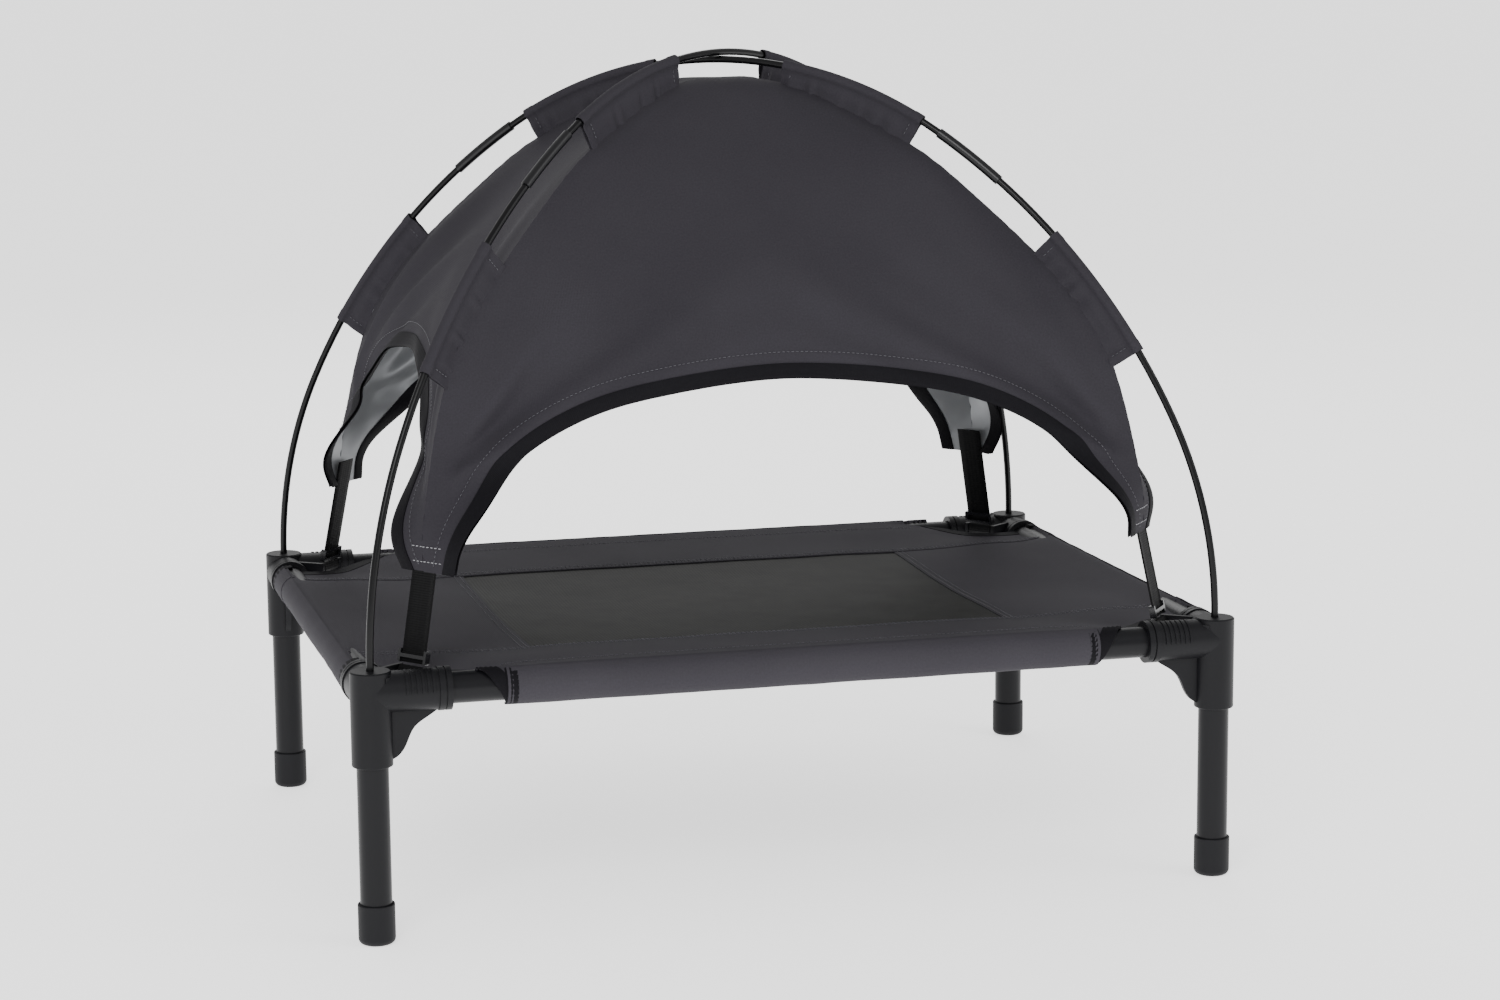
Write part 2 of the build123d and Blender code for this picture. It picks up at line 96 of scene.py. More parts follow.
def add_node(tree, kind, values=None, links=None, **settings):
    """A new node with its settings, its input values and the links into it."""
    node = tree.nodes.new(kind)
    for setting, value in settings.items():
        setattr(node, setting, value)
    for socket, value in (values or {}).items():
        node.inputs[socket].default_value = value
    for socket, source in (links or {}).items():
        tree.links.new(source, node.inputs[socket])
    return node


def start_material(name, hex_code, **shader_values):
    """A material with its shader's constant values set, its node tree and its shader."""
    material = bpy.data.materials.new(name)
    material.use_nodes = True
    tree = material.node_tree
    shader = tree.nodes["Principled BSDF"]
    shader.inputs["Base Color"].default_value = colour(hex_code)
    for socket, value in shader_values.items():
        shader.inputs[socket.replace("_", " ")].default_value = value
    material.diffuse_color = colour(hex_code)
    return material, tree, shader


def patterned(tree, shader, shade, dark, light, relief=None, span=(0, 1)):
    """Colours a shader by a pattern, and raises it by another: (height, strength, distance)."""
    ramp = add_node(tree, "ShaderNodeValToRGB", links={"Fac": shade})
    for stop, hex_code, position in zip(ramp.color_ramp.elements, (dark, light), span):
        stop.color = colour(hex_code)
        stop.position = position
    tree.links.new(ramp.outputs["Color"], shader.inputs["Base Color"])
    if relief:
        height, strength, distance = relief
        values = {"Strength": strength, "Distance": distance}
        bump = add_node(tree, "ShaderNodeBump", values, {"Height": height})
        tree.links.new(bump.outputs["Normal"], shader.inputs["Normal"])


def band_scale(spacing):
    """The Wave node's scale for bands a distance apart: it turns 20 radians a unit at scale 1."""
    return 2 * pi / (20 * spacing)


# %% [markdown]
# ## Woven polyester
# Canopy and sling are Oxford cloth: thick polyester threads in a plain weave, dyed anthracite, with
# a dull sheen. Two crossed wave patterns on the cloth's own flat coordinates raise the threads, so
# the weave follows every turn. Real threads lie half a millimetre apart, and are drawn 1.1 mm
# apart here, because finer ones vanish at this distance.

# %% Cloth material
def woven_cloth(name, dark, light, spacing=1.1 * mm, roughness=0.78, relief=0.35):
    """A plain weave, with a slow change of shade as dyed cloth has."""
    material, tree, shader = start_material(
        name, dark, Roughness=roughness, Sheen_Weight=0.01, Sheen_Roughness=0.5, Specular_IOR_Level=0.1
    )
    flat = add_node(tree, "ShaderNodeUVMap", uv_map="flat").outputs["UV"]
    warp = add_node(tree, "ShaderNodeTexWave", {"Scale": band_scale(spacing)}, {"Vector": flat})
    weft = add_node(
        tree, "ShaderNodeTexWave", {"Scale": band_scale(spacing)}, {"Vector": flat}, bands_direction="Y"
    )
    threads = add_node(
        tree, "ShaderNodeMath", links={0: warp.outputs["Fac"], 1: weft.outputs["Fac"]}, operation="MULTIPLY"
    )
    place = add_node(tree, "ShaderNodeTexCoord").outputs["Object"]
    shade = add_node(tree, "ShaderNodeTexNoise", {"Scale": 9, "Detail": 5}, {"Vector": place})
    slub = add_node(tree, "ShaderNodeTexNoise", {"Scale": 700, "Detail": 2}, {"Vector": flat})
    mixed = add_node(
        tree, "ShaderNodeMath", {1: 0.55}, {0: shade.outputs["Fac"]}, operation="MULTIPLY"
    )
    mixed = add_node(
        tree, "ShaderNodeMath", {1: 0.45, 2: 0}, {0: slub.outputs["Fac"], 2: mixed.outputs[0]},
        operation="MULTIPLY_ADD",
    )
    patterned(
        tree, shader, mixed.outputs[0], dark, light, (threads.outputs[0], relief, 0.15 * mm), (0.3, 0.7)
    )
    return material


canopy_cloth = woven_cloth("oxford_polyester_canopy", "#2C2A2F", "#343237")
sling_cloth = woven_cloth("oxford_polyester_sling", "#343237", "#3C3A3F", spacing=1.4 * mm)
print("cloth materials made")

# %% [markdown]
# ## The silver coating
# The canopy's inside is coated with aluminium-filled polyurethane against the sun. It is a smooth
# grey film with fine creases, brighter than the cloth and a little metallic.

# %% Coating material
def silver_coating():
    """The coated inner face of the canopy's cloth."""
    material, tree, shader = start_material(
        "silver_polyurethane_coating", "#A6A8AB", Roughness=0.42, Metallic=0.35, Specular_IOR_Level=0.5
    )
    place = add_node(tree, "ShaderNodeTexCoord").outputs["Object"]
    creases = add_node(
        tree, "ShaderNodeTexNoise", {"Scale": 55, "Detail": 6, "Roughness": 0.65}, {"Vector": place},
        noise_type="RIDGED_MULTIFRACTAL",
    )
    creased = creases.outputs["Fac"]
    patterned(tree, shader, creased, "#8F9194", "#B9BBBE", (creased, 0.35, 0.6 * mm))
    return material


coating = silver_coating()

# %% [markdown]
# ## Tape, webbing and mesh
# The bindings are folded polyester tape with fine cross ribs. The straps are polypropylene webbing,
# whose ribs are coarse enough to see. The middle of the sling is an open mesh that lets air
# through: round holes in rows, between coated threads.
# The holes are not cut through the cloth: each one is drawn as painted shade, darker towards its middle.

# %% Ribbed tape and webbing
def ribbed_weave(name, dark, light, rib, relief, roughness):
    """Cross ribs along a tape: its flat map's V runs along it."""
    material, tree, shader = start_material(
        name, dark, Roughness=roughness, Sheen_Weight=0.01, Sheen_Roughness=0.4, Specular_IOR_Level=0.12
    )
    flat = add_node(tree, "ShaderNodeUVMap", uv_map="flat").outputs["UV"]
    ribs = add_node(
        tree, "ShaderNodeTexWave", {"Scale": band_scale(rib)}, {"Vector": flat}, bands_direction="Y"
    )
    cords = add_node(tree, "ShaderNodeTexWave", {"Scale": band_scale(2.2 * rib)}, {"Vector": flat})
    height = add_node(
        tree, "ShaderNodeMath", {1: 0.4, 2: 0}, {0: cords.outputs["Fac"], 2: ribs.outputs["Fac"]},
        operation="MULTIPLY_ADD",
    )
    wear = add_node(tree, "ShaderNodeTexNoise", {"Scale": 400, "Detail": 3}, {"Vector": flat})
    patterned(tree, shader, wear.outputs["Fac"], dark, light, (height.outputs[0], relief, 0.2 * mm))
    return material


binding_tape = ribbed_weave("polyester_binding_tape", "#0B0A0E", "#111014", 1.0 * mm, 0.3, 0.75)
webbing = ribbed_weave("polypropylene_webbing", "#060607", "#0C0C0D", 1.6 * mm, 0.6, 0.65)


def open_mesh():
    """Coated threads round small holes, drawn 2.4 mm apart so that they show, with painted shade darkening
    each hole.
    """
    material, tree, shader = start_material(
        "textile_mesh_pvc_coated", "#1A1A18", Roughness=0.7, Specular_IOR_Level=0.2
    )
    flat = add_node(tree, "ShaderNodeUVMap", uv_map="flat").outputs["UV"]
    holes = add_node(
        tree, "ShaderNodeTexVoronoi", {"Scale": 1 / (2.4 * mm), "Randomness": 0.12}, {"Vector": flat}
    )
    mottle = add_node(tree, "ShaderNodeTexNoise", {"Scale": 60, "Detail": 4}, {"Vector": flat})
    # The distance from each hole's middle raises the threads. It also darkens the colour towards that
    # middle, as painted shade in the holes, mixed below with a random mottle.
    depth = holes.outputs["Distance"]
    share = add_node(
        tree, "ShaderNodeMath", links={0: mottle.outputs["Fac"], 1: depth}, operation="MULTIPLY"
    )
    patterned(
        tree, shader, share.outputs[0], "#0E0E0D", "#20201D", (depth, 0.6, 0.4 * mm), (0.05, 0.32)
    )
    return material


mesh_cloth = open_mesh()

# %% [markdown]
# ## Thread
# Polyester sewing thread is a soft, slightly glossy twist. Dark thread runs along the hems, and a
# light grey one holds the straps.

# %% Thread materials
def sewing_thread(name, dark, light):
    """Twisted thread: short changes of shade along each stitch."""
    material, tree, shader = start_material(name, light, Roughness=0.5, Sheen_Weight=0.2)
    place = add_node(tree, "ShaderNodeTexCoord").outputs["Object"]
    twist = add_node(tree, "ShaderNodeTexNoise", {"Scale": 1500, "Detail": 1}, {"Vector": place})
    patterned(tree, shader, twist.outputs["Fac"], dark, light)
    return material


light_thread = sewing_thread("polyester_thread_light", "#8E8E92", "#B4B4B8")
dark_thread = sewing_thread("polyester_thread_dark", "#34343A", "#55555C")

# %% [markdown]
# ## Hard finishes
# Connectors and foot caps are injection moulded, with the fine satin grain of a spark-eroded
# mould. Legs and rails are steel tube with a powder coat, which lies smooth with a slight orange
# peel. The poles are fibreglass rod under a clear gloss resin, their ferrules black-plated steel,
# and the strap sliders hard glossy acetal.

# %% Moulded, coated and drawn materials
def grained(name, hex_code, grain, relief, dark, light, **shader_values):
    """A surface with a fine grain of one size, and a slow change of shade."""
    material, tree, shader = start_material(name, hex_code, **shader_values)
    place = add_node(tree, "ShaderNodeTexCoord").outputs["Object"]
    fine = add_node(tree, "ShaderNodeTexNoise", {"Scale": 1 / grain, "Detail": 3}, {"Vector": place})
    slow = add_node(tree, "ShaderNodeTexNoise", {"Scale": 14, "Detail": 4}, {"Vector": place})
    patterned(tree, shader, slow.outputs["Fac"], dark, light, (fine.outputs["Fac"], relief, 0.08 * mm))
    rough = shader_values["Roughness"]
    gloss_range = {"To Min": rough * 0.88, "To Max": rough * 1.15}
    gloss = add_node(tree, "ShaderNodeMapRange", gloss_range, {"Value": slow.outputs["Fac"]})
    tree.links.new(gloss.outputs["Result"], shader.inputs["Roughness"])
    return material


connector_plastic = grained(
    "polypropylene_moulded_satin", "#0F0F12", 0.9 * mm, 0.35, "#0D0D10", "#121215",
    Roughness=0.45, Specular_IOR_Level=0.2,
)
foot_plastic = grained(
    "soft_pvc_moulded", "#121215", 1.2 * mm, 0.4, "#101013", "#161619",
    Roughness=0.55, Specular_IOR_Level=0.2,
)
tube_steel = grained(
    "steel_tube_powder_coated", "#0F0F12", 1.8 * mm, 0.18, "#0D0D10", "#121215",
    Roughness=0.36, Specular_IOR_Level=0.2,
)
pole_fibreglass = grained(
    "fibreglass_rod_resin_gloss", "#060607", 2.5 * mm, 0.1, "#050506", "#08080A",
    Roughness=0.3, Specular_IOR_Level=0.2, Coat_Weight=0.05, Coat_Roughness=0.08,
)
ferrule_steel = grained(
    "steel_black_plated", "#0E0E10", 1.5 * mm, 0.15, "#0C0C0E", "#121215", Roughness=0.32, Metallic=0.3
)
slider_acetal = grained(
    "acetal_moulded_gloss", "#17171A", 1.0 * mm, 0.15, "#151517", "#1E1E21", Roughness=0.22
)
hard_finishes = {
    "connector": connector_plastic,
    "foot_cap": foot_plastic,
    "leg": tube_steel,
    **{f"{side}_rail": tube_steel for side in ("front", "back", "left", "right")},
    "pole_section": pole_fibreglass,
    "ferrule": ferrule_steel,
    "strap_slider": slider_acetal,
}
for node_name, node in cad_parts.items():
    for start, finish in hard_finishes.items():
        if node_name.startswith(start):
            node.data.materials.clear()
            node.data.materials.append(finish)
print("hard pieces finished")

# %% [markdown]
# ## Places from the frame
# Every sewn piece hangs on a rail, a pole or a strap bar, so its place is worked out from the CAD
# nodes' boxes. The poles' three bends are worked out as the CAD model does it: upright in the
# connector, level at the top, and smooth in between.

# %% Legs, rails and poles
corners = {"front_left": (-1, -1), "front_right": (1, -1), "back_left": (-1, 1), "back_right": (1, 1)}
leg_low, leg_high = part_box("leg_back_right")
half_x = (leg_low[0] + leg_high[0]) / 2
half_y = (leg_low[1] + leg_high[1]) / 2
tube_radius = (leg_high[0] - leg_low[0]) / 2
rail_low, rail_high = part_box("front_rail")
rail_height = (rail_low[2] + rail_high[2]) / 2
sleeve_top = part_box("connector_back_right")[1][2]
diagonal = hypot(half_x, half_y)
toward_x = half_x / diagonal
toward_y = half_y / diagonal

pole_radius = 2.5 * mm
low_bend_end = radians(26)
mid_bend_end = radians(57)
mid_bend_radius = 480 * mm
middle_sections = {
    "front_left": "pole_section_middle_front_left_to_back_right",
    "back_right": "pole_section_middle_front_left_to_back_right",
    "back_left": "pole_section_middle_back_left_to_front_right",
    "front_right": "pole_section_middle_back_left_to_front_right",
}
corner_peaks = {name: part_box(node)[1][2] - pole_radius for name, node in middle_sections.items()}
pole_peak = sum(corner_peaks.values()) / len(corner_peaks)


def on_circle(centre, radius, turn):
    """A point of a bend: distance from the middle of the bed, and height."""
    return (centre[0] + radius * cos(turn), centre[1] + radius * sin(turn))


def pole_bends(peak):
    """Centre and radius of a half pole's lower, middle and upper bend."""
    run = diagonal - mid_bend_radius * (cos(low_bend_end) - cos(mid_bend_end))
    rise = peak - sleeve_top - mid_bend_radius * (sin(mid_bend_end) - sin(low_bend_end))
    low_cos, low_sin = 1 - cos(low_bend_end), sin(low_bend_end)
    mid_cos, mid_sin = cos(mid_bend_end), 1 - sin(mid_bend_end)
    scale = low_cos * mid_sin - mid_cos * low_sin
    low_radius = (run * mid_sin - rise * mid_cos) / scale
    high_radius = (rise * low_cos - run * low_sin) / scale
    low_centre = (diagonal - low_radius, sleeve_top)
    mid_centre = on_circle(low_centre, low_radius - mid_bend_radius, low_bend_end)
    high_centre = on_circle(mid_centre, mid_bend_radius - high_radius, mid_bend_end)
    return (low_centre, low_radius), (mid_centre, mid_bend_radius), (high_centre, high_radius)


print("post spacing", 2 * half_x, 2 * half_y, "peak", pole_peak)

# %% [markdown]
# ## Making a sheet
# A piece of cloth is a flat grid that is moved into place: one function gives the place for each
# of its stations across and along, and its flat position in metres, which becomes its UV map.
# That is how a sewer thinks of it too: a flat cut that is bent over a form. The sheet then gets
# its thickness with Solidify, which is applied so that the rim can be shaded as a sharp edge.

# %% Grid, thickness and riding
def laid_grid(bm, columns, rows, place):
    """Adds a grid whose vertices go where place(column, row) says."""
    flat = bm.loops.layers.uv.get("flat") or bm.loops.layers.uv.new("flat")
    made = bmesh.ops.create_grid(bm, x_segments=len(columns) - 1, y_segments=len(rows) - 1, size=0.5)
    cuts = {}
    for vert in made["verts"]:
        column = columns[round((vert.co.x + 0.5) * (len(columns) - 1))]
        row = rows[round((vert.co.y + 0.5) * (len(rows) - 1))]
        vert.co, cuts[vert] = place(column, row)
    for face in {face for vert in made["verts"] for face in vert.link_faces}:
        for loop in face.loops:
            loop[flat].uv = cuts[loop.vert]


def facing(bm, outward):
    """Turns the whole sheet over if most of it faces the wrong way."""
    bm.normal_update()
    if sum(face.normal.dot(outward(face.calc_center_median())) * face.calc_area() for face in bm.faces) < 0:
        bmesh.ops.reverse_faces(bm, faces=bm.faces)


def finished(bm, name, materials, body, thickness=0.0, coated=False, sharp=40):
    """A piece from a bmesh: thickened inwards, shaded smooth with sharp rims, riding on its body."""
    bmesh.ops.remove_doubles(bm, verts=bm.verts, dist=0.002 * mm)
    mesh = bpy.data.meshes.new(name)
    bm.to_mesh(mesh)
    bm.free()
    piece = bpy.data.objects.new(name, mesh)
    bpy.context.scene.collection.objects.link(piece)
    for material in materials:
        mesh.materials.append(material)
    if thickness:
        solid = piece.modifiers.new("thickness", "SOLIDIFY")
        solid.thickness = thickness
        solid.offset = -1
        solid.use_even_offset = False
        solid.material_offset = 1 if coated else 0
        ready = piece.evaluated_get(bpy.context.evaluated_depsgraph_get())
        piece.data = bpy.data.meshes.new_from_object(ready)
        piece.modifiers.clear()
        bpy.data.meshes.remove(mesh)
        piece.data.name = name
    piece.data.shade_smooth()
    piece.data.set_sharp_from_angle(angle=radians(sharp))
    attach(piece, body)
    return piece


def heading(line, index):
    """The direction of a line of flat points at one of them."""
    before, after = line[max(index - 1, 0)], line[min(index + 1, len(line) - 1)]
    return Vector((after[0] - before[0], after[1] - before[1])).normalized()


def evenly(low, high, count):
    """Evenly spaced stations from low to high."""
    return [low + (high - low) * index / count for index in range(count + 1)]


def eased(share):
    """A share from 0 to 1, with a soft start and end."""
    share = min(max(share, 0), 1)
    return share * share * (3 - 2 * share)


def smooth_through(points, steps):
    """A smooth line through points, as a list: Catmull-Rom spans, with the ends repeated."""
    line = []
    padded = [points[0], *points, points[-1]]
    for before, start, end, after in zip(padded, padded[1:], padded[2:], padded[3:]):
        for step in range(steps):
            share = step / steps
            line.append(tuple(
                0.5 * (2 * s + (e - b) * share + (2 * b - 5 * s + 4 * e - a) * share ** 2
                       + (3 * s - b - 3 * e + a) * share ** 3)
                for b, s, e, a in zip(before, start, end, after)
            ))
    line.append(tuple(points[-1]))
    return line


# %% [markdown]
# ## Stitches
# A row of stitches is short lengths of thread, each a small stretched ball that sinks halfway into
# the cloth. It has twenty faces, because a row holds a hundred of them.

# %% Stitch rows
def stitch_row(bm, line, pitch=3.2 * mm, length=2.3 * mm, width=0.55 * mm):
    """Adds a row of stitches along a line of (point, outward) pairs."""
    next_at = pitch / 2
    travelled = 0.0
    for (start, out), (end, _) in zip(line, line[1:]):
        span = (end - start).length
        while span > 0 and next_at <= travelled + span:
            along = (end - start).normalized()
            across = out.cross(along).normalized()
            turn = Matrix((along, across, along.cross(across))).transposed().to_4x4()
            size = Matrix.Diagonal((length / 2, width / 2, width / 2, 1))
            spot = Matrix.Translation(start.lerp(end, (next_at - travelled) / span))
            bmesh.ops.create_icosphere(bm, subdivisions=1, radius=1, matrix=spot @ turn @ size)
            next_at += pitch
        travelled += span


def sewn(bm, name, material, body):
    """All stitches of one piece of sewing, as one piece."""
    bmesh.ops.recalc_face_normals(bm, faces=bm.faces)
    return finished(bm, name, [material], body, sharp=180)


# %% [markdown]
# ## The sling's surface
# The sling is stretched between four rails, and sinks a little in the middle. Flat coordinates
# (a, b) from its middle run along the cloth, and past a rail's axis they run round the rail, so
# one function bends every strip, hem and tape. The sinking is a parabola from front to back. Along
# the bed it is nearly even, and comes up steeply by the short rails. The legs dip the cloth a little
# where it is cut away round them.

# %% Flat cloth to stretched sling
sling_sag = 10.5 * mm
end_rise = 45 * mm       # how far from a short rail the cloth starts to come up
corner_dip = 5.5 * mm    # by how much it is lower in a ring round each leg
dip_distance = 52 * mm
dip_width = 34 * mm
wrap_radius = tube_radius + 1.4 * mm
sling_top = rail_height + wrap_radius
wrap_length = 2 * pi * wrap_radius * 0.93
seam_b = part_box("sling_mesh_panel")[1][1]
seam_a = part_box("sling_mesh_panel")[1][0]
seam_overlap = 9 * mm


def corner_pull(a, b):
    """Soft folds that the corner cut-outs pull into the cloth, as a change of height."""
    from_corner = Vector((half_x - abs(a), half_y - abs(b)))
    bearing = atan2(from_corner.y, from_corner.x)
    distance = from_corner.length
    swell = exp(-((distance - 115 * mm) / (55 * mm)) ** 2)
    return swell * (0.9 * mm * sin(7 * bearing + 0.6 * copysign(1, a)) - 0.7 * mm)


def sling_point(a, b, lift=0.0):
    """Where a flat point of the sling lies, lifted off the cloth's outer face."""
    x = min(abs(a), half_x)
    y = min(abs(b), half_y)
    near_leg = hypot(half_x - x, half_y - y)
    fall = sling_sag * (1 - exp((x - half_x) / end_rise)) * (1 - (y / half_y) ** 2)
    fall += corner_dip * exp(-((near_leg - dip_distance) / dip_width) ** 2)
    fade = eased((half_x - x) / (30 * mm)) * eased((half_y - y) / (30 * mm))
    ripple = noise.noise(Vector((a * 22, b * 22, 3.7))) * 0.5 * mm + corner_pull(a, b)
    point = Vector((copysign(x, a), copysign(y, b), sling_top - fall + fade * ripple + lift))
    for axis, past, flat in ((1, abs(b) - half_y, b), (0, abs(a) - half_x, a)):
        if past > 0:
            turn = past / wrap_radius
            pucker = 0.35 * mm * (1 + noise.noise(Vector((a * 45, b * 45, 1.3))))
            reach = wrap_radius + lift + pucker * eased(past / (8 * mm))
            point[axis] += copysign(reach * sin(turn), flat)
            point.z = rail_height + reach * cos(turn)
    return point


def sling_outward(point):
    """Up from the bed, or away from the rail that the cloth turns round."""
    out = Vector((0, 0, 1))
    if abs(point.y) > half_y - 1 * mm:
        out = Vector((0, point.y - copysign(half_y, point.y), point.z - rail_height))
    if abs(point.x) > half_x - 1 * mm:
        out = Vector((point.x - copysign(half_x, point.x), 0, point.z - rail_height))
    return out


print("sling top", sling_top, "seams", seam_a, seam_b)

# %% [markdown]
# ## The sling's cloth
# Two long strips run along the front and back rails, two short panels fill the ends, and the mesh
# is sewn in between them. The strips are cut away round each leg along one smooth line, which starts
# under the long rail, slants over it and runs behind the sockets. It is given by a few stations, as
# distances in millimetres from the leg along each rail. Each strip is two grids that share the line
# where the cut starts: one out to the cut, and one for the rest of the turn round the long rail.

# %% Cut line and strips
cut_stations = [
    (88, -34), (86, -26), (79, -14), (72, -4), (64, 5),
    (54, 15), (42, 27), (31, 36), (16, 41), (0, 41),
]
cut_route = smooth_through([(half_x - da * mm, half_y - db * mm) for da, db in cut_stations], 6)
hem_a, cut_start_b = cut_route[0]


def cut_at(a):
    """How far out the strip reaches at a place along it."""
    for (low_a, low_b), (high_a, high_b) in zip(cut_route, cut_route[1:]):
        if abs(a) <= high_a:
            share = max(abs(a) - low_a, 0) / (high_a - low_a)
            return low_b + (high_b - low_b) * share
    return cut_route[-1][1]


def strip_columns():
    """Stations along a strip: even in the middle, and at the cut's own stations near the legs."""
    side = [a for a, b in cut_route[1:]]
    side += [half_x + wrap_length * share for share in evenly(0, 1, 20)][1:]
    return [-a for a in reversed(side)] + evenly(-hem_a, hem_a, 120) + side


def sling_strip(name, side):
    """A long strip of the sling, on the side of one long rail."""
    bm = bmesh.new()

    def inner(a, share):
        b = side * (seam_b - seam_overlap + (cut_at(a) - seam_b + seam_overlap) * share)
        return sling_point(a, b, 0.5 * mm), (a, b)

    def under(a, past):
        b = side * (cut_start_b + past)
        return sling_point(a, b, 0.5 * mm), (a, b)

    laid_grid(bm, strip_columns(), evenly(0, 1, 44), inner)
    laid_grid(bm, evenly(-hem_a, hem_a, 120), evenly(0, half_y + wrap_length - cut_start_b, 12), under)
    bmesh.ops.remove_doubles(bm, verts=bm.verts, dist=0.01 * mm)
    facing(bm, sling_outward)
    strip = finished(bm, name + "_cloth", [sling_cloth], "frame", 0.9 * mm)
    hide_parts(name)


sling_strip("sling_front_strip", -1)
sling_strip("sling_back_strip", 1)


def flat_panel(name, a_range, b_range, lift, material, steps, thickness=0.9 * mm):
    """A plain rectangle of the sling."""
    bm = bmesh.new()
    laid_grid(bm, evenly(*a_range, steps[0]), evenly(*b_range, steps[1]),
              lambda a, b: (sling_point(a, b, lift), (a, b)))
    facing(bm, sling_outward)
    panel = finished(bm, name + "_cloth", [material], "frame", thickness)
    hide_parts(name)


end_a = (seam_a - seam_overlap, half_x + wrap_length)
side_b = (-seam_b, seam_b)
flat_panel("sling_right_panel", end_a, side_b, 0.0, sling_cloth, (60, 70))
flat_panel("sling_left_panel", (-end_a[1], -end_a[0]), side_b, 0.0, sling_cloth,
           (60, 70))
flat_panel("sling_mesh_panel", (-seam_a, seam_a), side_b, -0.6 * mm, mesh_cloth,
           (90, 70), 0.7 * mm)
print("sling cloth made")

# %% [markdown]
# ## Tape round the cut-outs
# Each cut is bound with black tape, which runs on under both rails. It is laid along the cut line on
# the same flat coordinates, so it bends with the cloth under it.

# %% Corner tapes
def tape_route():
    """The cut edge in the corner where a and b are positive, from under the long rail."""
    start = [(hem_a, half_y + wrap_length - past)
             for past in evenly(0, half_y + wrap_length - cut_start_b, 12)]
    end = cut_route[-1][1]
    return start[:-1] + cut_route + [(half_x + past, end) for past in evenly(0, wrap_length, 24)[1:]]


def corner_tape(name, signs):
    """One corner's binding tape, laid on the cloth along its edge."""
    route = tape_route()
    rows = [-0.6, -0.3, 2, 4.5, 7, 9.3, 9.6]
    bm = bmesh.new()

    def lie(station, offset):
        along = heading(route, station)
        a = route[station][0] + along.y * offset * mm
        b = route[station][1] - along.x * offset * mm
        lift = 0.2 * mm if offset in (rows[0], rows[-1]) else 0.95 * mm
        return sling_point(signs[0] * a, signs[1] * b, lift), (offset * mm, station * 2.5 * mm)

    laid_grid(bm, list(range(len(route))), rows, lie)
    facing(bm, sling_outward)
    tape = finished(bm, name, [binding_tape], "frame", 0.45 * mm)
    return tape


tapes = [corner_tape(f"sling_tape_{corner}", signs) for corner, signs in corners.items()]
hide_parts("sling_corner_bindings")

# %% Sling topstitching
def sling_line(points):
    """Flat points of the sling as (point, outward) pairs just above the cloth."""
    placed = [sling_point(a, b, 0.75 * mm) for a, b in points]
    return [(point, sling_outward(point).normalized()) for point in placed]


bm = bmesh.new()
for side in (-1, 1):
    for inset in (2.5 * mm, 6.5 * mm):
        row_b = side * (seam_b - seam_overlap + inset)
        stitch_row(bm, sling_line([(a, row_b) for a in evenly(-half_x, half_x, 200)]), width=0.5 * mm)
        row_a = side * (seam_a - seam_overlap + inset)
        row = [(row_a, b) for b in evenly(-seam_b + seam_overlap, seam_b - seam_overlap, 90)]
        placed = [(sling_point(a, b, 0.2 * mm), Vector((0, 0, 1))) for a, b in row]
        stitch_row(bm, placed, width=0.5 * mm)
    row_b = side * (half_y - 16 * mm)
    stitch_row(bm, sling_line([(a, row_b) for a in evenly(-hem_a, hem_a, 160)]), width=0.45 * mm)
sewn(bm, "sling_stitching", dark_thread, "frame")
print("sling finished")

# %% [markdown]
# ## The canopy's seams
# The four panels are sewn together along the corners. Each corner seam hangs a little inside its
# pole, close to it at the top and further away near the tongue that the strap pulls down. The seam
# is a smooth line through a few stations: how far the pole has turned, and the distance inside it.

# %% Corner seam
seam_stations = [(90, 15), (79, 15), (60, 20), (50, 21), (40, 18), (32, 21), (18.5, 38), (12, 46)]
canopy_bends = pole_bends(pole_peak)


def bend_for(bends, turn):
    """The bend that a pole is in where it has turned this far."""
    if turn < low_bend_end:
        return bends[0]
    return bends[1] if turn <= mid_bend_end else bends[2]


seam_points = []
for turn, inside in seam_stations:
    centre, radius = bend_for(canopy_bends, radians(turn))
    seam_points.append(on_circle(centre, radius - inside * mm, radians(turn)))
seam_line = smooth_through(seam_points, 24)
tip_reach, tip_height = seam_line[-1]
crown_height = seam_line[0][1]
print("tips at", tip_reach, tip_height, "crown", crown_height)

# %% [markdown]
# ## A panel's surface
# A panel is stretched from seam to seam, so it bends only one way, and its flat coordinates are
# simply the distance across and the distance down from the crown. Three things are added to the
# plain bend: the cloth sinks inwards between the seams, soft folds fan out from the tongues, and
# the tongue's end is pressed flat against its strap.

